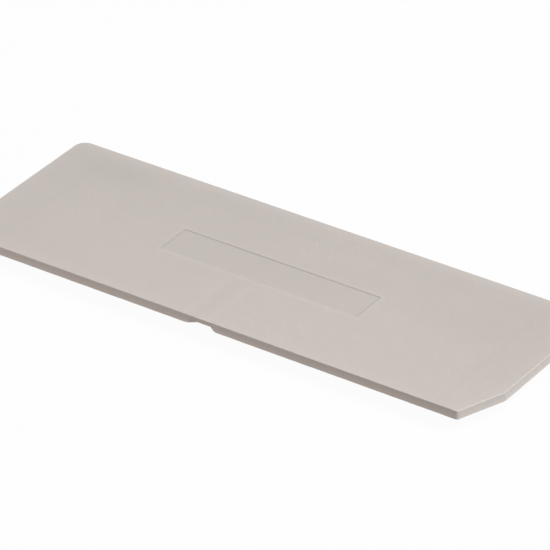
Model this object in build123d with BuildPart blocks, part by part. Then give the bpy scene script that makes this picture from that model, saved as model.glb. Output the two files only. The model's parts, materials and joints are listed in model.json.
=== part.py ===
from build123d import *
import os

# End cover for a row of rail-mounted terminal blocks: a thin moulded plate that closes the open
# side of the last block. It lies with its outer face up, on the tips of its locating pegs.
# X runs along the plate and Y from the notched front side to the back side.
# The origin is under the middle of the plate, at the level of the peg tips.

# Plate, in millimetres
length = 94.6
width = 32.0
thickness = 1.45
skin = 0.75

# Corners of the outline: both front corners are cut by a steep slant
slant_along_front = 3.1
slant_along_end = 7.8
front_corner_radius = 0.5
slant_end_radius = 1.5
back_corner_radius = 1.9
outer_edge_radius = 0.1

# Marking field, a shallow sunk rectangle in the middle of the outer face, its walls sloping in
field_length = 35.8
field_width = 6.45
field_depth = 0.1
field_wall_slope = 30.0

# Gate notch in the rim, under the front side and a little left of its middle
notch_offset = -1.1
notch_mouth = 4.9
notch_floor = 1.1
notch_depth = 1.35
notch_mouth_radius = 1.7
notch_floor_radius = 0.3

# Underside: the rim, and the ribs that divide it into pockets
rim_width = 1.6
rib_thickness = 0.9
rib_columns = 5
pocket_corner_radius = 0.6

# Round marks that the ejector pins of the mould leave in the pockets
mark_diameter = 2.5
mark_depth = 0.1

# Locating pegs, which push into the holes of the block's housing
peg_end_inset = 7.3
peg_side_inset = 7.0
peg_diameter = 3.0
peg_length = 2.4
peg_tip_chamfer = 0.4
boss_diameter = 5.4

# Levels above the peg tips
mating_level = peg_length
skin_level = mating_level + thickness - skin
outer_level = mating_level + thickness

# Pegs stand on the crossings of the outermost ribs
peg_spacing_x = length - 2 * peg_end_inset
peg_spacing_y = width - 2 * peg_side_inset
rib_spacing = peg_spacing_x / (rib_columns - 1)
mark_spacing_y = (width + peg_spacing_y + rib_thickness) / 2 - rim_width

# Corner points, anticlockwise from the left end of the front side
front_y = -width / 2
front_left = (-length / 2 + slant_along_front, front_y)
front_right = (length / 2 - slant_along_front, front_y)
end_corners = (
    (length / 2, front_y + slant_along_end),
    (length / 2, width / 2),
    (-length / 2, width / 2),
    (-length / 2, front_y + slant_along_end),
)
end_radii = (slant_end_radius, back_corner_radius, back_corner_radius, slant_end_radius)
notch_corners = (
    (notch_offset - notch_mouth / 2, front_y),
    (notch_offset - notch_floor / 2, front_y + notch_depth),
    (notch_offset + notch_floor / 2, front_y + notch_depth),
    (notch_offset + notch_mouth / 2, front_y),
)
notch_radii = (notch_mouth_radius, notch_floor_radius, notch_floor_radius, notch_mouth_radius)

# Ground left solid round the notch
with BuildSketch() as notch_ground:
    with BuildLine():
        Polyline(*notch_corners, close=True)
    make_face()
    offset(amount=rim_width, mode=Mode.REPLACE)

# Pockets in plan: the inside of the rim, divided by ribs through the pegs, with solid ground
# left under each peg and round the notch
with BuildSketch() as pockets:
    with BuildLine():
        Polyline(front_left, front_right, *end_corners, close=True)
    make_face()
    offset(amount=-rim_width, kind=Kind.INTERSECTION, mode=Mode.REPLACE)
    with GridLocations(rib_spacing, 0, rib_columns, 1):
        Rectangle(rib_thickness, width, mode=Mode.SUBTRACT)
    with GridLocations(0, peg_spacing_y, 1, 2):
        Rectangle(length, rib_thickness, mode=Mode.SUBTRACT)
    fillet(pockets.vertices(), radius=pocket_corner_radius)
    with GridLocations(peg_spacing_x, peg_spacing_y, 2, 2):
        Circle(boss_diameter / 2, mode=Mode.SUBTRACT)
    add(notch_ground.sketch, mode=Mode.SUBTRACT)

with BuildPart() as end_cover:
    # Closed skin behind the outer face, with the full outline
    with BuildSketch(Plane.XY.offset(skin_level)):
        with BuildLine():
            FilletPolyline(
                front_left,
                front_right,
                *end_corners,
                radius=(front_corner_radius, front_corner_radius, *end_radii),
                close=True,
            )
        make_face()
    extrude(amount=skin)
    outer_face = end_cover.faces().sort_by(Axis.Z)[-1]
    fillet(outer_face.edges(), radius=outer_edge_radius)

    # Rim and ribs, from the skin down to the mating face
    with BuildSketch(Plane.XY.offset(mating_level)):
        with BuildLine():
            FilletPolyline(
                front_left,
                *notch_corners,
                front_right,
                *end_corners,
                radius=(front_corner_radius, *notch_radii, front_corner_radius, *end_radii),
                close=True,
            )
        make_face()
        add(pockets.sketch, mode=Mode.SUBTRACT)
    extrude(amount=thickness - skin)

    # Ejector marks between the rim and the long ribs, sunk in the floor of the pockets
    with BuildSketch(Plane.XY.offset(skin_level)):
        with GridLocations(rib_spacing, mark_spacing_y, rib_columns - 1, 2):
            Circle(mark_diameter / 2)
    extrude(amount=mark_depth, mode=Mode.SUBTRACT)

    # Marking field sunk in the outer face
    with BuildSketch(Plane.XY.offset(outer_level)):
        Rectangle(field_length, field_width)
    extrude(amount=-field_depth, taper=field_wall_slope, mode=Mode.SUBTRACT)

    # Pegs with a lead-in at their tips
    with BuildSketch(Plane.XY.offset(mating_level)):
        with GridLocations(peg_spacing_x, peg_spacing_y, 2, 2):
            Circle(peg_diameter / 2)
    extrude(amount=-peg_length)
    peg_tips = end_cover.faces().group_by(Axis.Z)[0]
    chamfer(peg_tips.edges(), length=peg_tip_chamfer)

end_cover.part.label = "end_cover"
os.makedirs("parts", exist_ok=True)
export_step(end_cover.part, "parts/end_cover.step")
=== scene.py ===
import json
import logging
import math
import random
from dataclasses import dataclass, field
from enum import Enum
from functools import cached_property, reduce
from typing import Iterable, Optional, Union

import bmesh
import bpy
from mathutils import Matrix, Vector


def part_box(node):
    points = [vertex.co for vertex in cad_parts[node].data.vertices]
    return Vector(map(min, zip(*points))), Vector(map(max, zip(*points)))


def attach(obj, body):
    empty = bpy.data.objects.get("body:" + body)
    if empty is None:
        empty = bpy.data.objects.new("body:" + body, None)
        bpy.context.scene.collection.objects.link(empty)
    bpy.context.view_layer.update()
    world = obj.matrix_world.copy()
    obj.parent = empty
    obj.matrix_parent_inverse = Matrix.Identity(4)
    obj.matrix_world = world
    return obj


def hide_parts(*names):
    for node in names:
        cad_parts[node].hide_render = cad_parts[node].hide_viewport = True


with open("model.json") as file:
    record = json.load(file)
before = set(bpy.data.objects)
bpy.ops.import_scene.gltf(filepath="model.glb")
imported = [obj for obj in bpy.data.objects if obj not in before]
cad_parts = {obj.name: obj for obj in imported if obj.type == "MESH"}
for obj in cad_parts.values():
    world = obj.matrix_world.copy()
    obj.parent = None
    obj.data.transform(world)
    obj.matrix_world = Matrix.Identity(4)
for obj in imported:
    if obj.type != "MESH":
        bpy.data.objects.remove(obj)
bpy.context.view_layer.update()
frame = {"nodes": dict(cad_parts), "record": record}

MM = 0.001
BODY = "root"
NODE = "end_cover"

# A Mix node's sockets when it mixes colours
MIX_SHARE = 0
MIX_COLOURS = (6, 7)
MIX_RESULT = 2

logging.basicConfig(level=logging.INFO, format="%(message)s")
log = logging.getLogger("end_cover")

Socket = bpy.types.NodeSocket
Value = Union[float, Socket]
Colour = tuple[float, float, float]


class RayKind(Enum):
    """Rays that see the studio as plain white."""

    CAMERA = "Is Camera Ray"
    GLOSSY = "Is Glossy Ray"
    TRANSMISSION = "Is Transmission Ray"


class EdgeKind(Enum):
    """Edges of the moulding that get a rounding of their own."""

    MATING = "edge of the mating face"
    FIELD_LIP = "upper edge round the marking field"
    POCKET_FLOOR = "inner corner at the floor of a pocket"
    PEG_TIP = "edges of a peg's lead-in"
    PEG_FOOT = "inner corner at the foot of a peg"
    PLAIN = "left as it is"


class NodeBoard:
    """A thin helper round a node tree, so that a tree reads as a list of steps."""

    def __init__(self, tree: bpy.types.NodeTree) -> None:
        """Takes over a tree and clears it.

        Args:
            tree: The node tree of a material, a world or a Geometry Nodes group.
        """
        self.tree = tree
        tree.nodes.clear()

    def add(self, kind: str, **settings: object) -> bpy.types.Node:
        """Adds one node.

        Args:
            kind: The node's type name.
            **settings: Properties of the node to set.

        Returns:
            The new node.
        """
        node = self.tree.nodes.new(kind)
        for name, value in settings.items():
            setattr(node, name, value)
        return node

    def feed(self, target: Socket, value: object) -> None:
        """Links a socket to an output, or writes a plain value on it.

        Args:
            target: The socket to feed.
            value: An output socket, or a plain value.
        """
        if isinstance(value, bpy.types.NodeSocket):
            self.tree.links.new(value, target)
        else:
            target.default_value = value

    def math(self, operation: str, *values: Value) -> Socket:
        """Adds a Math node.

        Args:
            operation: The node's operation.
            *values: Numbers or output sockets, in the node's order.

        Returns:
            The node's output socket.
        """
        node = self.add("ShaderNodeMath", operation=operation)
        for target, value in zip(node.inputs, values):
            self.feed(target, value)
        return node.outputs[0]

    def total(self, values: Iterable[Value]) -> Socket:
        """Adds up two or more values."""
        return reduce(lambda so_far, value: self.math("ADD", so_far, value), values)

    def fade(
        self, value: Value, start: float, end: float, low: Value = 0.0, high: Value = 1.0
    ) -> Socket:
        """Goes smoothly from one value to another while the input crosses a range.

        Args:
            value: The input.
            start: Input at which the result is low.
            end: Input at which the result is high.
            low: Result up to the start.
            high: Result from the end on.

        Returns:
            The result's socket.
        """
        node = self.add("ShaderNodeMapRange", interpolation_type="SMOOTHSTEP")
        for target, item in zip(node.inputs, (value, start, end, low, high)):
            self.feed(target, item)
        return node.outputs[0]

    def noise(self, place: Socket, scale: float, detail: float = 2.0) -> Socket:
        """Adds even random variation between -0.5 and 0.5.

        Args:
            place: The coordinates.
            scale: Cells for each unit of the coordinates.
            detail: Finer octaves.

        Returns:
            The variation's socket.
        """
        node = self.add("ShaderNodeTexNoise")
        self.feed(node.inputs["Vector"], place)
        node.inputs["Scale"].default_value = scale
        node.inputs["Detail"].default_value = detail
        return self.math("SUBTRACT", node.outputs[0], 0.5)

    def parts(self, vector: Socket) -> tuple[Socket, Socket, Socket]:
        """Splits a vector.

        Args:
            vector: The vector's socket.

        Returns:
            The sockets of its three parts.
        """
        node = self.add("ShaderNodeSeparateXYZ")
        self.feed(node.inputs[0], vector)
        return tuple(node.outputs)

    def in_millimetres(self, point: Socket) -> Socket:
        """Turns metres into millimetres.

        Args:
            point: A point in metres.

        Returns:
            The socket of the same point in millimetres.
        """
        node = self.add("ShaderNodeVectorMath", operation="SCALE")
        self.feed(node.inputs[0], point)
        self.feed(node.inputs["Scale"], 1.0 / MM)
        return node.outputs[0]

    def mix(self, blend: str, share: Value, first: object, second: object) -> Socket:
        """Mixes two colours.

        Args:
            blend: The node's blend type.
            share: How far the second colour counts.
            first: The first colour, plain or as a socket.
            second: The second colour, plain or as a socket.

        Returns:
            The colour's socket.
        """
        node = self.add("ShaderNodeMix", data_type="RGBA", blend_type=blend)
        self.feed(node.inputs[MIX_SHARE], share)
        for index, colour in zip(MIX_COLOURS, (first, second)):
            self.feed(node.inputs[index], colour)
        return node.outputs[MIX_RESULT]

    def bump(self, height: Socket, distance: float, under: Optional[Socket] = None) -> Socket:
        """Gives the surface a fine relief.

        Args:
            height: The relief's height.
            distance: Metres for one unit of height.
            under: The normal that the relief lies on, if it isn't the plain surface.

        Returns:
            The normal's socket.
        """
        node = self.add("ShaderNodeBump")
        node.inputs["Distance"].default_value = distance
        self.feed(node.inputs["Height"], height)
        if under is not None:
            self.feed(node.inputs["Normal"], under)
        return node.outputs[0]

    def plastic(self, colour: Socket, roughness: Value, normal: Socket) -> None:
        """Ends a material in a plastic surface.

        Args:
            colour: The base colour.
            roughness: A number or a socket.
            normal: The normal with its relief.
        """
        shader = self.add("ShaderNodeBsdfPrincipled")
        self.feed(shader.inputs["Base Color"], colour)
        self.feed(shader.inputs["Roughness"], roughness)
        self.feed(shader.inputs["Normal"], normal)
        output = self.add("ShaderNodeOutputMaterial")
        self.feed(output.inputs["Surface"], shader.outputs["BSDF"])


def new_material(name: str) -> tuple[bpy.types.Material, NodeBoard]:
    """Starts a material.

    Args:
        name: The material's name.

    Returns:
        The material, and the empty board of its nodes.
    """
    material = bpy.data.materials.new(name)
    material.use_nodes = True
    return material, NodeBoard(material.node_tree)


def new_object(
    name: str, shape: bmesh.types.BMesh, material: bpy.types.Material
) -> bpy.types.Object:
    """Makes an object of a finished shape, and frees the shape.

    Args:
        name: The name of the object and of its mesh.
        shape: The shape, in metres.
        material: The object's material.

    Returns:
        The object.
    """
    mesh = bpy.data.meshes.new(name)
    shape.to_mesh(mesh)
    shape.free()
    mesh.materials.append(material)
    made = bpy.data.objects.new(name, mesh)
    bpy.context.scene.collection.objects.link(made)
    return made


@dataclass(frozen=True)
class PlateSizes:
    """The solid's sizes that finishes and small pieces go by."""

    field_length: float = 35.8 * MM
    field_width: float = 6.45 * MM
    skin: float = 0.75 * MM
    slant_along_front: float = 3.1 * MM
    slant_along_end: float = 7.8 * MM
    notch_x: float = -1.1 * MM
    notch_depth: float = 1.35 * MM
    mark_diameter: float = 2.5 * MM
    mark_columns: int = 4
    mark_rows: int = 2
    mark_spacing_x: float = 20.0 * MM
    mark_spacing_y: float = 23.85 * MM

    @cached_property
    def high(self) -> Vector:
        """Highest corner of the solid, which is centred and ends at the outer face."""
        return Vector(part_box(NODE)[1])

    @cached_property
    def mating_level(self) -> float:
        """Level of the face that closes the block, from the record's own mount."""
        mounts = {mount["name"]: mount for mount in frame["record"]["mounts"]}
        return mounts["mating_face"]["pos_m"][2]

    @cached_property
    def pocket_level(self) -> float:
        """Level of the floor of the pockets, which is the lower side of the skin."""
        return self.high.z - self.skin


@dataclass(frozen=True)
class Spot:
    """A point of the surface, as the sockets that a finish works with. Lengths are millimetres.

    The share "outer" is 1 on the outer face and its rounded edge and 0 on everything below, and
    "front" is 1 where the surface faces forward on the front side and in the notch.
    """

    board: NodeBoard
    place: Socket
    x: Socket
    y: Socket
    z: Socket
    outer: Socket
    front: Socket


@dataclass(frozen=True)
class TonePatch:
    """A soft oval on the outer face, a little lighter or darker, in millimetres."""

    x: float
    y: float
    reach_x: float
    reach_y: float
    tone: float

    def draw(self, spot: Spot) -> Socket:
        """Gives the patch's tone, full in its middle and nothing past its reach.

        Args:
            spot: The point of the surface.

        Returns:
            The tone's socket.
        """
        board = spot.board
        off_x = board.math("MULTIPLY_ADD", spot.x, 1.0 / self.reach_x, -self.x / self.reach_x)
        off_y = board.math("MULTIPLY_ADD", spot.y, 1.0 / self.reach_y, -self.y / self.reach_y)
        squares = board.total(board.math("POWER", off, 2.0) for off in (off_x, off_y))
        return board.fade(board.math("SQRT", squares), 1.0, 0.0, 0.0, self.tone)


@dataclass(frozen=True)
class ToneLine:
    """A faint lighter or darker line on the outer face, in millimetres.

    The line lies where a measure, such as the place across the plate, has the value "offset". The
    share "core" of its reach has the full tone, and from there on it fades.
    """

    offset: float
    reach: float
    tone: float
    core: float = 0.0

    def draw(self, board: NodeBoard, measure: Value) -> Socket:
        """Gives the line's tone.

        Args:
            board: The board to add the nodes to.
            measure: What the line's offset counts in.

        Returns:
            The tone's socket.
        """
        off = board.math("ABSOLUTE", board.math("SUBTRACT", measure, self.offset))
        return board.fade(off, self.reach, self.reach * self.core, 0.0, self.tone)


@dataclass(frozen=True)
class ToneSpeckle:
    """Random lighter and darker spots of one size, in millimetres."""

    size: float
    tone: float

    def draw(self, spot: Spot) -> Socket:
        """Gives the spots' tone."""
        spots = spot.board.noise(spot.place, 1.0 / self.size)
        return spot.board.math("MULTIPLY", spots, self.tone)


@dataclass(frozen=True)
class MouldedPlastic:
    """The cover's finish: warm light grey plastic with a fine matt mould texture.

    Flow marks run in from the gate, the rim is a little lighter, and the field's floor is darker.
    Light and shade are painted too: a highlight on the very edge of the outer face, on the lip of
    the marking field and along the back edge, shade on the field's end walls, bounce light that
    lightens the sides towards their foot, a warm shade on the front side with a fall of light along
    it, and a fall of light from the front to the back of the plate. These shades are set to match
    the photograph. Lengths are millimetres, and tones are shares of the base colour.
    """

    name: str = "moulded_grey_plastic"
    colour: Colour = (0.566, 0.518, 0.481)
    # Painted warm shade on the front side and in the notch
    front_shade_tint: Colour = (1.078, 1.004, 0.966)

    # Where the outer face ends, below its level, and where the front side and the notch begin
    face_start: float = 0.16
    face_full: float = 0.11
    front_facing_start: float = -0.75
    front_facing_full: float = -0.95
    front_reach: float = 2.0
    front_soft: float = 0.5

    # The sides, with painted bounce light that lightens them towards their foot from a depth below
    # the outer face, and a painted fall of light along the front side
    side_start: float = 0.25
    side_bounce_tone: float = 0.10
    front_bounce_start: float = 0.45
    front_bounce_tone: float = 0.07
    # Painted fall of light along the front side
    painted_front_fall: float = -0.0020

    # The whole plate, its rim, and the marking field with its lip and its end walls. Painted here:
    # a fall of light to the back, highlights on the very edge and on the lip, shade on the end
    # walls
    # Painted fall of light from the front to the back of the plate
    painted_fall_to_back: float = -0.0021
    rim: ToneLine = ToneLine(0.0, 2.6, 0.022)
    # Painted highlight on the very edge of the outer face
    edge: ToneLine = ToneLine(0.0, 0.35, 0.05, core=1 / 3)
    floor_tone: float = -0.027
    field_soft: float = 0.1
    # Painted highlights on the lip of the marking field, all round and at its front
    lip: ToneLine = ToneLine(0.45, 0.45, 0.030)
    front_lip_highlight: ToneLine = ToneLine(-0.02, 0.36, 0.055)
    front_lip_end: float = 0.4
    # Painted shade on the field's end walls and at their foot
    end_wall_shade: ToneLine = ToneLine(-0.05, 0.22, -0.18, core=1 / 3)

    # Unevenness of the outer face: soft patches and sink lines over the ribs, and a painted band of
    # light along the back edge
    patches: tuple[TonePatch, ...] = (
        TonePatch(-36.0, 10.5, 12.0, 5.0, -0.032),
        TonePatch(-42.0, 5.5, 6.0, 6.0, -0.016),
        TonePatch(-43.0, -8.0, 7.0, 9.0, -0.030),
        TonePatch(-37.0, -11.5, 10.0, 7.0, -0.024),
        TonePatch(38.0, 5.5, 15.0, 9.0, -0.026),
        TonePatch(29.0, 3.0, 9.0, 7.0, -0.012),
        TonePatch(43.5, -3.5, 6.0, 9.0, -0.020),
        TonePatch(22.0, -1.0, 7.0, 5.0, 0.014),
        TonePatch(12.0, 10.0, 10.0, 4.0, 0.014),
    )
    end_rib: ToneLine = ToneLine(40.4, 1.1, -0.013)
    back_rib: ToneLine = ToneLine(11.4, 1.3, -0.010)
    # Painted band of light along the back edge
    back_edge_light: ToneLine = ToneLine(16.3, 3.0, 0.048)

    # Flow marks, how much and how often they wander, and where they run out before the field
    flow_lines: tuple[ToneLine, ...] = (
        ToneLine(-4.1, 1.1, 0.020),
        ToneLine(-2.1, 1.2, -0.016),
        ToneLine(0.1, 1.1, 0.022),
    )
    flow_wander: float = 1.6
    flow_bends: float = 0.3
    flow_end: float = 0.2
    flow_full: float = -2.5

    # Cloudiness from coarse to fine
    speckles: tuple[ToneSpeckle, ...] = (
        ToneSpeckle(9.0, 0.045),
        ToneSpeckle(1.7, 0.042),
        ToneSpeckle(0.4, 0.060),
    )

    # Rub marks: one mark, the noise that draws it, and how far apart the rubbed places lie
    scuff_length: float = 5.0
    scuff_width: float = 0.45
    scuff_tone: float = 0.028
    scuff_start: float = 0.06
    scuff_full: float = 0.22
    scuff_spread: float = 13.0
    scuff_spread_full: float = 0.12

    # Sheen and relief
    roughness: float = 0.5
    roughness_spread: float = 0.06
    roughness_cells: float = 0.8
    grain_size: float = 0.16
    grain_height: float = 0.012
    wave_size: float = 7.0
    wave_height: float = 0.012

    def material(self, sizes: PlateSizes) -> bpy.types.Material:
        """Builds the material.

        Args:
            sizes: The plate's sizes.

        Returns:
            The finished material.
        """
        material, board = new_material(self.name)
        spot = self.spot(board, sizes)
        colour = self.tinted(spot, self.tone(spot, sizes))
        board.plastic(colour, self.sheen(spot), self.relief(spot))
        return material

    def spot(self, board: NodeBoard, sizes: PlateSizes) -> Spot:
        """Finds out where on the plate a point lies.

        Args:
            board: The board to add the nodes to.
            sizes: The plate's sizes.

        Returns:
            The point, with its shares of the outer face and of the front side.
        """
        texture = board.add("ShaderNodeTexCoord")
        place = board.in_millimetres(texture.outputs["Object"])
        x, y, z = board.parts(place)
        top = sizes.high.z / MM
        outer = board.fade(z, top - self.face_start, top - self.face_full)
        facing_y = board.parts(texture.outputs["Normal"])[1]
        forward = board.fade(facing_y, self.front_facing_start, self.front_facing_full)
        behind = self.front_reach - sizes.high.y / MM
        near = board.fade(y, behind + self.front_soft, behind)
        return Spot(board, place, x, y, z, outer, board.math("MULTIPLY", forward, near))

    def tinted(self, spot: Spot, tone: Socket) -> Socket:
        """Multiplies the base colour by a tone, and gives the front side its painted warm shade.

        Args:
            spot: The point of the surface.
            tone: The tone's socket, about 1.

        Returns:
            The colour's socket.
        """
        # The front side's painted warm shade
        warm = tuple(part * tint for part, tint in zip(self.colour, self.front_shade_tint))
        base = spot.board.mix("MIX", spot.front, (*self.colour, 1.0), (*warm, 1.0))
        return spot.board.mix("MULTIPLY", 1.0, base, tone)

    def tone(self, spot: Spot, sizes: PlateSizes) -> Socket:
        """Adds up everything that makes a spot lighter or darker.

        Args:
            spot: The point of the surface.
            sizes: The plate's sizes.

        Returns:
            The tone's socket, about 1.
        """
        board = spot.board
        face_marks = (
            self.outline(spot, sizes),
            self.field_marks(spot, sizes),
            self.uneven(spot),
            self.scuffs(spot),
        )
        tones = (
            1.0,
            board.math("MULTIPLY", board.total(face_marks), spot.outer),
            # Painted fall of light from the front to the back
            board.math("MULTIPLY", spot.y, self.painted_fall_to_back),
            # Painted bounce light on the sides, and a painted fall of light along the front side
            self.sides(spot, sizes),
            self.flow(spot, sizes),
            *(speckle.draw(spot) for speckle in self.speckles),
        )
        return board.total(tones)

    def outline(self, spot: Spot, sizes: PlateSizes) -> Socket:
        """Lightens a band along the outline of the outer face, and paints a highlight on its very
        edge.

        Args:
            spot: The point of the surface.
            sizes: The plate's sizes.

        Returns:
            The tone's socket.
        """
        board = spot.board
        from_end = board.math("SUBTRACT", sizes.high.x / MM, board.math("ABSOLUTE", spot.x))
        from_side = board.math("SUBTRACT", sizes.high.y / MM, board.math("ABSOLUTE", spot.y))
        from_front = board.math("ADD", spot.y, sizes.high.y / MM)
        cut_x, cut_y = sizes.slant_along_front / MM, sizes.slant_along_end / MM
        slope = math.hypot(cut_x, cut_y)
        across = board.math("MULTIPLY_ADD", from_end, cut_y / slope, -cut_x * cut_y / slope)
        from_slant = board.math("MULTIPLY_ADD", from_front, cut_x / slope, across)
        inset = board.math("MINIMUM", board.math("MINIMUM", from_end, from_side), from_slant)
        # The rim's lighter band, and the painted highlight on the very edge
        return board.total(line.draw(board, inset) for line in (self.rim, self.edge))

    def field_marks(self, spot: Spot, sizes: PlateSizes) -> Socket:
        """Darkens the floor of the marking field, and paints shade on its end walls and highlights
        on its lip.

        Args:
            spot: The point of the surface.
            sizes: The plate's sizes.

        Returns:
            The tone's socket.
        """
        board = spot.board
        half_length, half_width = sizes.field_length / 2 / MM, sizes.field_width / 2 / MM
        past_end = board.math("SUBTRACT", board.math("ABSOLUTE", spot.x), half_length)
        past_side = board.math("SUBTRACT", board.math("ABSOLUTE", spot.y), half_width)
        past = board.math("MAXIMUM", past_end, past_side)
        past_front = board.math("ADD", spot.y, half_width)
        beside = board.fade(past_side, self.field_soft, -self.field_soft)
        between = board.fade(past_end, self.front_lip_end, 0.0)
        marks = (
            board.fade(past, 0.0, -self.field_soft, 0.0, self.floor_tone),
            # Painted shade on the end walls
            board.math("MULTIPLY", self.end_wall_shade.draw(board, past_end), beside),
            # Painted highlights on the lip
            self.lip.draw(board, past),
            board.math("MULTIPLY", self.front_lip_highlight.draw(board, past_front), between),
        )
        return board.total(marks)

    def uneven(self, spot: Spot) -> Socket:
        """Adds the soft patches, the sink lines over the ribs, and a painted band of light along
        the back edge.

        Args:
            spot: The point of the surface.

        Returns:
            The tone's socket.
        """
        board = spot.board
        patches = [patch.draw(spot) for patch in self.patches]
        end_rib = self.end_rib.draw(board, board.math("ABSOLUTE", spot.x))
        # Sink line over the back rib, and the painted band of light along the back edge
        across = [line.draw(board, spot.y) for line in (self.back_rib, self.back_edge_light)]
        return board.total([*patches, end_rib, *across])

    def scuffs(self, spot: Spot) -> Socket:
        """Adds faint light rub marks that cross the outer face at a slant, here and there.

        Args:
            spot: The point of the surface.

        Returns:
            The tone's socket.
        """
        board = spot.board
        along = board.math("SUBTRACT", spot.x, spot.y)
        across = board.math("ADD", spot.x, spot.y)
        turned = math.sqrt(0.5)
        streak = board.add("ShaderNodeCombineXYZ")
        board.feed(streak.inputs["X"], board.math("MULTIPLY", along, turned / self.scuff_length))
        board.feed(streak.inputs["Y"], board.math("MULTIPLY", across, turned / self.scuff_width))
        marks = board.noise(streak.outputs[0], 1.0, detail=1.0)
        drawn = board.fade(marks, self.scuff_start, self.scuff_full, 0.0, self.scuff_tone)
        places = board.noise(spot.place, 1.0 / self.scuff_spread, detail=1.0)
        return board.math("MULTIPLY", drawn, board.fade(places, 0.0, self.scuff_spread_full))

    def sides(self, spot: Spot, sizes: PlateSizes) -> Socket:
        """Paints bounce light on the sides towards their foot, and a fall of light along the front
        side.

        Args:
            spot: The point of the surface.
            sizes: The plate's sizes.

        Returns:
            The tone's socket.
        """
        board = spot.board
        top, foot = sizes.high.z / MM, sizes.mating_level / MM
        # Painted bounce light that lightens every side towards its foot
        side = board.fade(spot.z, top - self.side_start, foot, 0.0, self.side_bounce_tone)
        start = top - self.front_bounce_start
        # Painted bounce light on the front side, with a painted fall of light along the plate
        front_bounce = board.fade(spot.z, start, foot, 0.0, self.front_bounce_tone)
        front = board.math("MULTIPLY_ADD", spot.x, self.painted_front_fall, front_bounce)
        return board.math("MULTIPLY_ADD", spot.front, front, side)

    def flow(self, spot: Spot, sizes: PlateSizes) -> Socket:
        """Draws the flow marks that run from the gate to the marking field.

        Args:
            spot: The point of the surface.
            sizes: The plate's sizes.

        Returns:
            The tone's socket.
        """
        board = spot.board
        bends = board.noise(spot.place, self.flow_bends)
        measure = board.math("MULTIPLY_ADD", bends, self.flow_wander, spot.x)
        lines = board.total(line.draw(board, measure) for line in self.flow_lines)
        stop = -sizes.field_width / 2 / MM
        run_out = board.fade(spot.y, stop + self.flow_end, stop + self.flow_full)
        return board.math("MULTIPLY", lines, run_out)

    def sheen(self, spot: Spot) -> Socket:
        """Varies the roughness a little from place to place."""
        cells = spot.board.noise(spot.place, self.roughness_cells, detail=3.0)
        return spot.board.math("MULTIPLY_ADD", cells, self.roughness_spread, self.roughness)

    def relief(self, spot: Spot) -> Socket:
        """Adds the fine mould grain over a faint waviness.

        Args:
            spot: The point of the surface.

        Returns:
            The normal's socket.
        """
        board = spot.board
        waves = board.noise(spot.place, 1.0 / self.wave_size, detail=1.0)
        grain = board.noise(spot.place, 1.0 / self.grain_size, detail=1.0)
        wavy = board.bump(waves, self.wave_height * MM)
        return board.bump(grain, self.grain_height * MM, wavy)


@dataclass(frozen=True)
class TornPlastic:
    """The finish where the gate was torn off: lighter, rough and uneven, in millimetres."""

    name: str = "torn_grey_plastic"
    colour: Colour = (0.66, 0.63, 0.60)
    roughness: float = 0.8
    grain_size: float = 0.12
    grain_height: float = 0.02
    tone_spread: float = 0.22

    def material(self) -> bpy.types.Material:
        """Builds the material.

        Returns:
            The finished material.
        """
        material, board = new_material(self.name)
        place = board.in_millimetres(board.add("ShaderNodeTexCoord").outputs["Object"])
        grain = board.noise(place, 1.0 / self.grain_size, detail=3.0)
        tone = board.math("MULTIPLY_ADD", grain, self.tone_spread, 1.0)
        colour = board.mix("MULTIPLY", 1.0, (*self.colour, 1.0), tone)
        board.plastic(colour, self.roughness, board.bump(grain, self.grain_height * MM))
        return material


@dataclass(frozen=True)
class EdgeRounding:
    """How far and how finely one kind of edge is rounded, in millimetres."""

    kind: EdgeKind
    reach: float
    segments: int


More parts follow.
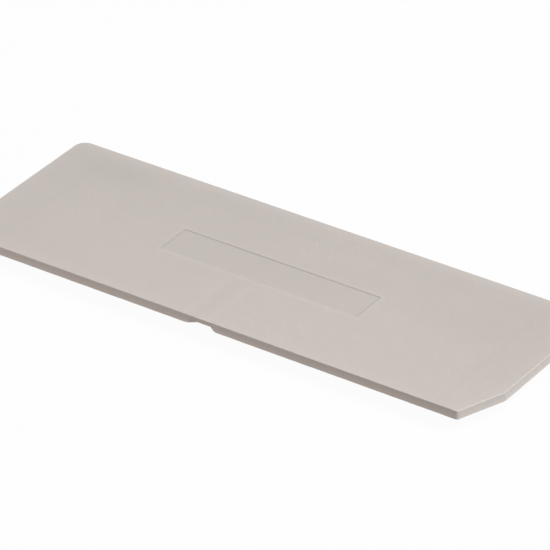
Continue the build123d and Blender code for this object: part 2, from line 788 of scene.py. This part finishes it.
@dataclass
class MouldedCover:
    """The cover itself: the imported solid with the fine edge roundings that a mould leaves.

    Its lengths are millimetres, and so are the shape's until its edges are rounded.
    """

    sizes: PlateSizes
    material: bpy.types.Material
    weld: float = 0.002
    fine_weld: float = 0.0005
    flat_angle: float = math.radians(0.6)
    sharp_angle: float = math.radians(20.0)
    crease_angle: float = math.radians(50.0)
    level_slack: float = 0.02
    tip_depth: float = 1.0
    roundings: tuple[EdgeRounding, ...] = (
        EdgeRounding(EdgeKind.MATING, 0.08, 3),
        EdgeRounding(EdgeKind.POCKET_FLOOR, 0.12, 3),
        EdgeRounding(EdgeKind.PEG_TIP, 0.10, 3),
        EdgeRounding(EdgeKind.PEG_FOOT, 0.15, 3),
        EdgeRounding(EdgeKind.FIELD_LIP, 0.03, 2),
    )

    def build(self) -> bpy.types.Object:
        """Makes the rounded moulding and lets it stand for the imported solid.

        Returns:
            The cover's object.
        """
        shape = bmesh.new()
        shape.from_mesh(frame["nodes"][NODE].data)
        bmesh.ops.scale(shape, vec=(1.0 / MM,) * 3, verts=shape.verts)
        bmesh.ops.remove_doubles(shape, verts=shape.verts, dist=self.weld)
        bmesh.ops.dissolve_limit(
            shape, angle_limit=self.flat_angle, verts=shape.verts, edges=shape.edges
        )
        for rounding in self.roundings:
            self.round_edges(shape, rounding)
        bmesh.ops.remove_doubles(shape, verts=shape.verts, dist=self.fine_weld)
        bmesh.ops.triangulate(shape, faces=[face for face in shape.faces if len(face.verts) > 4])
        bmesh.ops.scale(shape, vec=(MM,) * 3, verts=shape.verts)
        cover = self.finished(shape)
        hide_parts(NODE)
        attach(cover, BODY)
        log.info("cover: %d faces", len(cover.data.polygons))
        return cover

    def round_edges(self, shape: bmesh.types.BMesh, rounding: EdgeRounding) -> None:
        """Rounds every edge of one kind.

        Args:
            shape: The moulding, in millimetres.
            rounding: The kind of edge and its rounding.
        """
        edges = [edge for edge in shape.edges if self.kind_of(edge) is rounding.kind]
        bmesh.ops.bevel(
            shape,
            geom=edges,
            offset=rounding.reach,
            offset_type="OFFSET",
            segments=rounding.segments,
            profile=0.5,
            affect="EDGES",
            clamp_overlap=True,
        )
        log.info("%s: %d edges", rounding.kind.value, len(edges))

    def kind_of(self, edge: bmesh.types.BMEdge) -> EdgeKind:
        """Says which kind of edge this is, by its level, its angle and what it borders.

        Args:
            edge: An edge of the solid, in millimetres.

        Returns:
            The edge's kind.
        """
        if len(edge.link_faces) != 2 or edge.calc_face_angle(0.0) < self.sharp_angle:
            return EdgeKind.PLAIN
        mating = self.sizes.mating_level / MM
        if self.lies_at(edge, mating):
            return EdgeKind.MATING if edge.is_convex else EdgeKind.PEG_FOOT
        if self.lies_at(edge, self.sizes.pocket_level / MM) and not edge.is_convex:
            return EdgeKind.POCKET_FLOOR
        if max(vert.co.z for vert in edge.verts) < mating - self.tip_depth and edge.is_convex:
            return EdgeKind.PEG_TIP
        if self.lies_at(edge, self.sizes.high.z / MM) and self.borders_field(edge):
            return EdgeKind.FIELD_LIP
        return EdgeKind.PLAIN

    def lies_at(self, edge: bmesh.types.BMEdge, level: float) -> bool:
        """Whether the whole edge lies on a level."""
        return all(abs(vert.co.z - level) < self.level_slack for vert in edge.verts)

    def borders_field(self, edge: bmesh.types.BMEdge) -> bool:
        """Whether the middle of an edge lies on or within the outline of the marking field.

        Args:
            edge: An edge at the level of the outer face, in millimetres.

        Returns:
            True at the marking field.
        """
        middle = (edge.verts[0].co + edge.verts[1].co) / 2
        half_length, half_width = self.sizes.field_length / MM / 2, self.sizes.field_width / MM / 2
        along = abs(middle.x) < half_length + self.level_slack
        return along and abs(middle.y) < half_width + self.level_slack

    def finished(self, shape: bmesh.types.BMesh) -> bpy.types.Object:
        """Turns the shape into a smooth shaded object, flat faces kept flat.

        Args:
            shape: The moulding, in metres.

        Returns:
            The cover's object.
        """
        for face in shape.faces:
            face.smooth = True
        for edge in shape.edges:
            edge.smooth = edge.calc_face_angle(0.0) < self.crease_angle
        self.put_in_order(shape)
        cover = new_object("cover", shape, self.material)
        cover.modifiers.new("even_faces", "WEIGHTED_NORMAL").keep_sharp = True
        return cover

    def put_in_order(self, shape: bmesh.types.BMesh) -> None:
        """Sorts faces and edges by their first two corners, so that their order never changes.

        Args:
            shape: The moulding, closed, with all its faces outwards.
        """
        shape.verts.index_update()
        count = len(shape.verts)
        for rows in (shape.faces, shape.edges):
            rows.sort(key=lambda row: row.verts[0].index * count + row.verts[1].index)


@dataclass
class TreeMaker:
    """Builds one Geometry Nodes tree with named inputs and keeps its result as a plain mesh."""

    name: str
    board: NodeBoard = field(init=False)
    inlet: bpy.types.Node = field(init=False)
    outlet: bpy.types.Node = field(init=False)
    values: dict[str, object] = field(default_factory=dict)

    def __post_init__(self) -> None:
        """Starts an empty tree with a geometry input and output."""
        tree = bpy.data.node_groups.new(self.name, "GeometryNodeTree")
        tree.interface.new_socket("Geometry", in_out="INPUT", socket_type="NodeSocketGeometry")
        tree.interface.new_socket("Geometry", in_out="OUTPUT", socket_type="NodeSocketGeometry")
        self.board = NodeBoard(tree)
        self.inlet = self.board.add("NodeGroupInput")
        self.outlet = self.board.add("NodeGroupOutput")

    def size(self, name: str, kind: str, value: object) -> Socket:
        """Adds a named input.

        Args:
            name: The input's name.
            kind: The socket's type name.
            value: What the input is set to.

        Returns:
            The socket that gives the value inside the tree.
        """
        self.board.tree.interface.new_socket(name, in_out="INPUT", socket_type=kind)
        self.values[name] = value
        return self.inlet.outputs[name]

    def circle(self, sides: int, radius: Socket) -> Socket:
        """Adds a closed curve of straight sides round the origin.

        Args:
            sides: Number of sides.
            radius: The circle's radius.

        Returns:
            The curve's socket.
        """
        node = self.board.add("GeometryNodeCurvePrimitiveCircle")
        node.inputs["Resolution"].default_value = sides
        self.board.feed(node.inputs["Radius"], radius)
        return node.outputs[0]

    def swept(self, curve: Socket, section: Socket, scale: Value = 1.0) -> Socket:
        """Sweeps a section along a curve.

        Args:
            curve: The curve.
            section: The section's own curve.
            scale: Size of the section at each point of the curve.

        Returns:
            The mesh's socket.
        """
        node = self.board.add("GeometryNodeCurveToMesh")
        self.board.feed(node.inputs["Curve"], curve)
        self.board.feed(node.inputs["Profile Curve"], section)
        self.board.feed(node.inputs["Scale"], scale)
        return node.outputs[0]

    def finish(self, geometry: Socket) -> None:
        """Ends the tree with real geometry in the piece's own material.

        Args:
            geometry: The tree's result, which may hold instances.
        """
        real = self.board.add("GeometryNodeRealizeInstances")
        paint = self.board.add("GeometryNodeSetMaterial")
        self.board.feed(real.inputs[0], geometry)
        self.board.feed(paint.inputs["Geometry"], real.outputs[0])
        material = self.size("Material", "NodeSocketMaterial", None)
        self.board.feed(paint.inputs["Material"], material)
        self.board.feed(self.outlet.inputs[0], paint.outputs[0])

    def piece(self, base: bpy.types.Mesh, material: bpy.types.Material) -> bpy.types.Object:
        """Runs the tree on a mesh.

        Args:
            base: The mesh that the tree starts from.
            material: The piece's material.

        Returns:
            An object with the result as its own plain mesh.
        """
        self.values["Material"] = material
        carrier = bpy.data.objects.new(self.name, base)
        bpy.context.scene.collection.objects.link(carrier)
        modifier = carrier.modifiers.new(self.name, "NODES")
        modifier.node_group = self.board.tree
        for item in self.board.tree.interface.items_tree:
            if item.in_out == "INPUT" and item.name in self.values:
                modifier[item.identifier] = self.values[item.name]
        seen = carrier.evaluated_get(bpy.context.evaluated_depsgraph_get())
        plain = bpy.data.meshes.new_from_object(seen)
        carrier.modifiers.remove(modifier)
        carrier.data = plain
        plain.name = self.name
        return carrier


@dataclass
class PartingFlash:
    """The thin uneven fin where the two halves of the mould meet, along the foot of the plate.

    It follows the edges whose wall faces out of the plate, which a step of the probe's length from
    the wall tells. For that step the notch counts as a little wider and deeper than it is.
    """

    sizes: PlateSizes
    material: bpy.types.Material
    reach: float = 0.035 * MM
    sides: int = 4
    step: float = 0.35 * MM
    swell_size: float = 2.5 * MM
    swell_start: float = 0.35
    swell_full: float = 0.7
    least: float = 0.25
    seed: float = 7.0
    weld: float = 0.002 * MM
    slack: float = 0.01 * MM
    upright: float = 0.5
    probe: float = 0.9 * MM
    half_notch: float = 2.6 * MM
    notch_reach: float = 1.6 * MM

    def build(self) -> bpy.types.Object:
        """Makes the fin.

        Returns:
            The fin's object.
        """
        maker = TreeMaker("parting_flash")
        board = maker.board
        reach = maker.size("Reach", "NodeSocketFloat", self.reach)
        step = maker.size("Step", "NodeSocketFloat", self.step)
        swell = maker.size("Swell Scale", "NodeSocketFloat", MM / self.swell_size)
        seed = maker.size("Seed", "NodeSocketFloat", self.seed)
        line = board.add("GeometryNodeMeshToCurve")
        board.feed(line.inputs[0], maker.inlet.outputs["Geometry"])
        points = board.add("GeometryNodeResampleCurve", mode="LENGTH")
        board.feed(points.inputs["Curve"], line.outputs[0])
        board.feed(points.inputs["Length"], step)
        place = board.in_millimetres(board.add("GeometryNodeInputPosition").outputs[0])
        noise = board.add("ShaderNodeTexNoise", noise_dimensions="4D")
        for name, value in (("Vector", place), ("W", seed), ("Scale", swell)):
            board.feed(noise.inputs[name], value)
        width = board.fade(noise.outputs[0], self.swell_start, self.swell_full, self.least)
        maker.finish(maker.swept(points.outputs[0], maker.circle(self.sides, reach), width))
        flash = maker.piece(self.outline(), self.material)
        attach(flash, BODY)
        log.info("parting_flash: %d faces", len(flash.data.polygons))
        return flash

    def outline(self) -> bpy.types.Mesh:
        """Takes the outline of the plate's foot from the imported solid.

        Returns:
            A mesh of the outline's edges alone.
        """
        shape = bmesh.new()
        shape.from_mesh(frame["nodes"][NODE].data)
        bmesh.ops.remove_doubles(shape, verts=shape.verts, dist=self.weld)
        others = [edge for edge in shape.edges if not self.on_foot(edge)]
        bmesh.ops.delete(shape, geom=others, context="EDGES_FACES")
        loose = [vert for vert in shape.verts if not vert.link_edges]
        bmesh.ops.delete(shape, geom=loose, context="VERTS")
        mesh = bpy.data.meshes.new("foot_outline")
        shape.to_mesh(mesh)
        shape.free()
        return mesh

    def on_foot(self, edge: bmesh.types.BMEdge) -> bool:
        """Whether an edge joins the mating face to the outer side of the plate or of the notch.

        Args:
            edge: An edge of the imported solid.

        Returns:
            True on the outline.
        """
        mating = self.sizes.mating_level
        if any(abs(vert.co.z - mating) > self.slack for vert in edge.verts):
            return False
        walls = [face for face in edge.link_faces if abs(face.normal.z) < self.upright]
        if len(walls) != 1 or not edge.is_convex:
            return False
        middle = (edge.verts[0].co + edge.verts[1].co) / 2
        return not self.within(middle + walls[0].normal * self.probe)

    def within(self, point: Vector) -> bool:
        """Whether a point lies inside the plate's outline.

        Args:
            point: A point a probe's length from the foot of a wall.

        Returns:
            True over a pocket, and False outside the plate and in the notch.
        """
        inset_x = self.sizes.high.x - abs(point.x)
        inset_y = self.sizes.high.y - abs(point.y)
        from_front = point.y + self.sizes.high.y
        beside_notch = abs(point.x - self.sizes.notch_x)
        notch = beside_notch < self.half_notch and from_front < self.notch_reach
        cut_x, cut_y = self.sizes.slant_along_front, self.sizes.slant_along_end
        slant = cut_y * inset_x + cut_x * from_front - cut_x * cut_y
        return min(inset_x, inset_y) > 0 and slant > 0 and not notch


@dataclass
class EjectorWitness:
    """Thin raised rings that stand round the ejector marks on the pocket floors."""

    sizes: PlateSizes
    material: bpy.types.Material
    wire: float = 0.035 * MM
    turns: int = 40
    sides: int = 6

    def build(self) -> bpy.types.Object:
        """Makes the rings on their grid.

        Returns:
            The rings' object.
        """
        sizes = self.sizes
        maker = TreeMaker("ejector_witness")
        board = maker.board
        columns = maker.size("Columns", "NodeSocketInt", sizes.mark_columns)
        rows = maker.size("Rows", "NodeSocketInt", sizes.mark_rows)
        span_x = (sizes.mark_columns - 1) * sizes.mark_spacing_x
        span_y = (sizes.mark_rows - 1) * sizes.mark_spacing_y
        length = maker.size("Length", "NodeSocketFloat", span_x)
        width = maker.size("Width", "NodeSocketFloat", span_y)
        radius = maker.size("Radius", "NodeSocketFloat", sizes.mark_diameter / 2 + self.wire / 2)
        wire = maker.size("Wire", "NodeSocketFloat", self.wire)
        level = maker.size("Level", "NodeSocketFloat", sizes.pocket_level)
        grid = board.add("GeometryNodeMeshGrid")
        board.feed(grid.inputs["Size X"], length)
        board.feed(grid.inputs["Size Y"], width)
        board.feed(grid.inputs["Vertices X"], columns)
        board.feed(grid.inputs["Vertices Y"], rows)
        lift = board.add("ShaderNodeCombineXYZ")
        board.feed(lift.inputs["Z"], level)
        moved = board.add("GeometryNodeTransform")
        board.feed(moved.inputs["Geometry"], grid.outputs[0])
        board.feed(moved.inputs["Translation"], lift.outputs[0])
        ring = maker.swept(maker.circle(self.turns, radius), maker.circle(self.sides, wire))
        copies = board.add("GeometryNodeInstanceOnPoints")
        board.feed(copies.inputs["Points"], moved.outputs[0])
        board.feed(copies.inputs["Instance"], ring)
        maker.finish(copies.outputs[0])
        rings = maker.piece(bpy.data.meshes.new("empty"), self.material)
        for face in rings.data.polygons:
            face.use_smooth = True
        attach(rings, BODY)
        log.info("ejector_witness: %d faces", len(rings.data.polygons))
        return rings


@dataclass
class GateStub:
    """What is left of the gate on the floor of the notch, torn off short."""

    sizes: PlateSizes
    material: bpy.types.Material
    width: float = 0.8 * MM
    height: float = 0.42 * MM
    reach: float = 0.32 * MM
    sunk: float = 0.15 * MM
    tear: float = 0.09 * MM
    taper: float = 0.18
    cuts: int = 7
    seed: int = 11

    def build(self) -> bpy.types.Object:
        """Makes the stub with its torn end towards the front.

        Returns:
            The stub's object.
        """
        draw = random.Random(self.seed)
        half, hair = 0.5, 1e-4
        shape = bmesh.new()
        bmesh.ops.create_cube(shape, size=2 * half)
        bmesh.ops.subdivide_edges(shape, edges=shape.edges, cuts=self.cuts, use_grid_fill=True)
        depth = self.reach + self.sunk
        for vert in shape.verts:
            torn = vert.co.y < -half + hair
            narrow = 1.0 - self.taper * (half - vert.co.y)
            vert.co.x *= self.width * narrow
            vert.co.z *= self.height * narrow
            vert.co.y = vert.co.y * depth + (draw.uniform(-self.tear, self.tear) if torn else 0.0)
        notch_floor = self.sizes.notch_depth - self.sizes.high.y
        middle = (self.sizes.mating_level + self.sizes.pocket_level) / 2
        place = Vector((self.sizes.notch_x, notch_floor + self.sunk - depth / 2, middle))
        bmesh.ops.translate(shape, vec=place, verts=shape.verts)
        bmesh.ops.recalc_face_normals(shape, faces=shape.faces)
        stub = new_object("gate_stub", shape, self.material)
        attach(stub, BODY)
        log.info("gate_stub: %d faces", len(stub.data.polygons))
        return stub


@dataclass
class Studio:
    """Plain white floor, a soft key light and an even sky.

    key_level is how bright a white level surface looks under the key light alone.
    """

    floor_radius: float = 3.0
    floor_sides: int = 64
    floor_gap: float = 0.01 * MM
    floor_colour: float = 0.75
    whiteness: float = 0.96
    sky_strength: float = 0.232
    key_direction: tuple[float, float, float] = (0.499, 0.103, 0.78)
    key_level: float = 0.842
    key_distance: float = 1.7
    key_size: float = 1.1

    def build(self) -> None:
        """Makes the floor, the sky and the lamp."""
        self.floor()
        self.sky()
        self.key()
        log.info("studio: floor, sky and key light")

    def seen_rays(self, board: NodeBoard) -> Socket:
        """Gives 1 for the rays that see the studio as white, and 0 for those that light the object.

        Args:
            board: The board to add the nodes to.

        Returns:
            The factor's socket.
        """
        path = board.add("ShaderNodeLightPath")
        seen = (path.outputs[kind.value] for kind in RayKind)
        return reduce(lambda so_far, ray: board.math("MAXIMUM", so_far, ray), seen)

    def shown(self, board: NodeBoard, share: Socket, lit: Socket, white: Socket) -> Socket:
        """Shows white to some of the rays and the lit surface to the others.

        Args:
            board: The board to add the nodes to.
            share: The share of white.
            lit: The shader that lights and takes shadows.
            white: The plain white shader.

        Returns:
            The mixed shader's socket.
        """
        mix = board.add("ShaderNodeMixShader")
        for target, value in zip(mix.inputs, (share, lit, white)):
            board.feed(target, value)
        return mix.outputs[0]

    def floor(self) -> bpy.types.Object:
        """Makes the floor just under the peg tips.

        Returns:
            The floor object.
        """
        material, board = new_material("floor_white")
        matt = board.add("ShaderNodeBsdfDiffuse")
        matt.inputs["Color"].default_value = (*(self.floor_colour,) * 3, 1.0)
        white = board.add("ShaderNodeEmission")
        share = board.math("MULTIPLY", self.seen_rays(board), self.whiteness)
        output = board.add("ShaderNodeOutputMaterial")
        mixed = self.shown(board, share, matt.outputs[0], white.outputs[0])
        board.feed(output.inputs["Surface"], mixed)
        shape = bmesh.new()
        bmesh.ops.create_circle(
            shape, cap_ends=True, segments=self.floor_sides, radius=self.floor_radius
        )
        bmesh.ops.translate(shape, vec=(0.0, 0.0, -self.floor_gap), verts=shape.verts)
        plane = new_object("floor", shape, material)
        return plane

    def sky(self) -> None:
        """Lights the scene evenly, and shows as white."""
        world = bpy.data.worlds.new("sky")
        bpy.context.scene.world = world
        world.use_nodes = True
        board = NodeBoard(world.node_tree)
        light = board.add("ShaderNodeBackground")
        light.inputs["Strength"].default_value = self.sky_strength
        white = board.add("ShaderNodeBackground")
        white.inputs["Color"].default_value = (1.0, 1.0, 1.0, 1.0)
        output = board.add("ShaderNodeOutputWorld")
        mixed = self.shown(board, self.seen_rays(board), light.outputs[0], white.outputs[0])
        board.feed(output.inputs["Surface"], mixed)

    def key(self) -> bpy.types.Object:
        """Places the soft lamp on the right.

        Returns:
            The lamp object.
        """
        toward = Vector(self.key_direction).normalized()
        lamp = bpy.data.lights.new("key", "AREA")
        lamp.shape = "DISK"
        lamp.size = self.key_size
        lamp.energy = self.key_level * math.pi**2 * self.key_distance**2 / toward.z
        placed = bpy.data.objects.new("key", lamp)
        placed.location = toward * self.key_distance
        placed.rotation_euler = toward.to_track_quat("Z", "Y").to_euler()
        bpy.context.scene.collection.objects.link(placed)
        return placed


@dataclass
class PhotoCamera:
    """The photograph's view, as fitted to the straight edges of the plate.

    The three angles are degrees, and the lens and the sensor are in a camera's usual millimetres.
    """

    azimuth: float = 36.464
    elevation: float = 32.011
    roll: float = -2.050
    distance: float = 725.07 * MM
    lens: float = 318.59
    sensor: float = 36.0
    aim_x: float = 1.141 * MM
    aim_y: float = -0.135 * MM
    near: float = 0.01
    far: float = 20.0

    def build(self) -> bpy.types.Object:
        """Makes the camera and sets it as the scene's.

        Returns:
            The camera object.
        """
        turn, rise, lean = (math.radians(a) for a in (self.azimuth, self.elevation, self.roll))
        forward = Vector(
            (-math.sin(turn) * math.cos(rise), math.cos(turn) * math.cos(rise), -math.sin(rise))
        )
        level = Vector((math.cos(turn), math.sin(turn), 0.0))
        down = forward.cross(level)
        right = math.cos(lean) * level - math.sin(lean) * down
        up = -(math.sin(lean) * level + math.cos(lean) * down)
        data = bpy.data.cameras.new("photo_camera")
        data.lens = self.lens
        data.sensor_width = data.sensor_height = self.sensor
        data.clip_start = self.near
        data.clip_end = self.far
        camera = bpy.data.objects.new("photo_camera", data)
        axes = Matrix((right, up, -forward)).transposed().to_4x4()
        place = Vector((self.aim_x, self.aim_y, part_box(NODE)[1].z)) - forward * self.distance
        camera.matrix_world = Matrix.Translation(place) @ axes
        bpy.context.scene.collection.objects.link(camera)
        bpy.context.scene.camera = camera
        return camera


def main() -> None:
    """Builds the cover's looks, the studio and the camera."""
    sizes = PlateSizes()
    plastic = MouldedPlastic().material(sizes)
    MouldedCover(sizes, plastic).build()
    PartingFlash(sizes, plastic).build()
    EjectorWitness(sizes, plastic).build()
    GateStub(sizes, TornPlastic().material()).build()
    Studio().build()
    PhotoCamera().build()
    bpy.context.scene.view_settings.view_transform = "Standard"


if __name__ == "__main__":
    main()
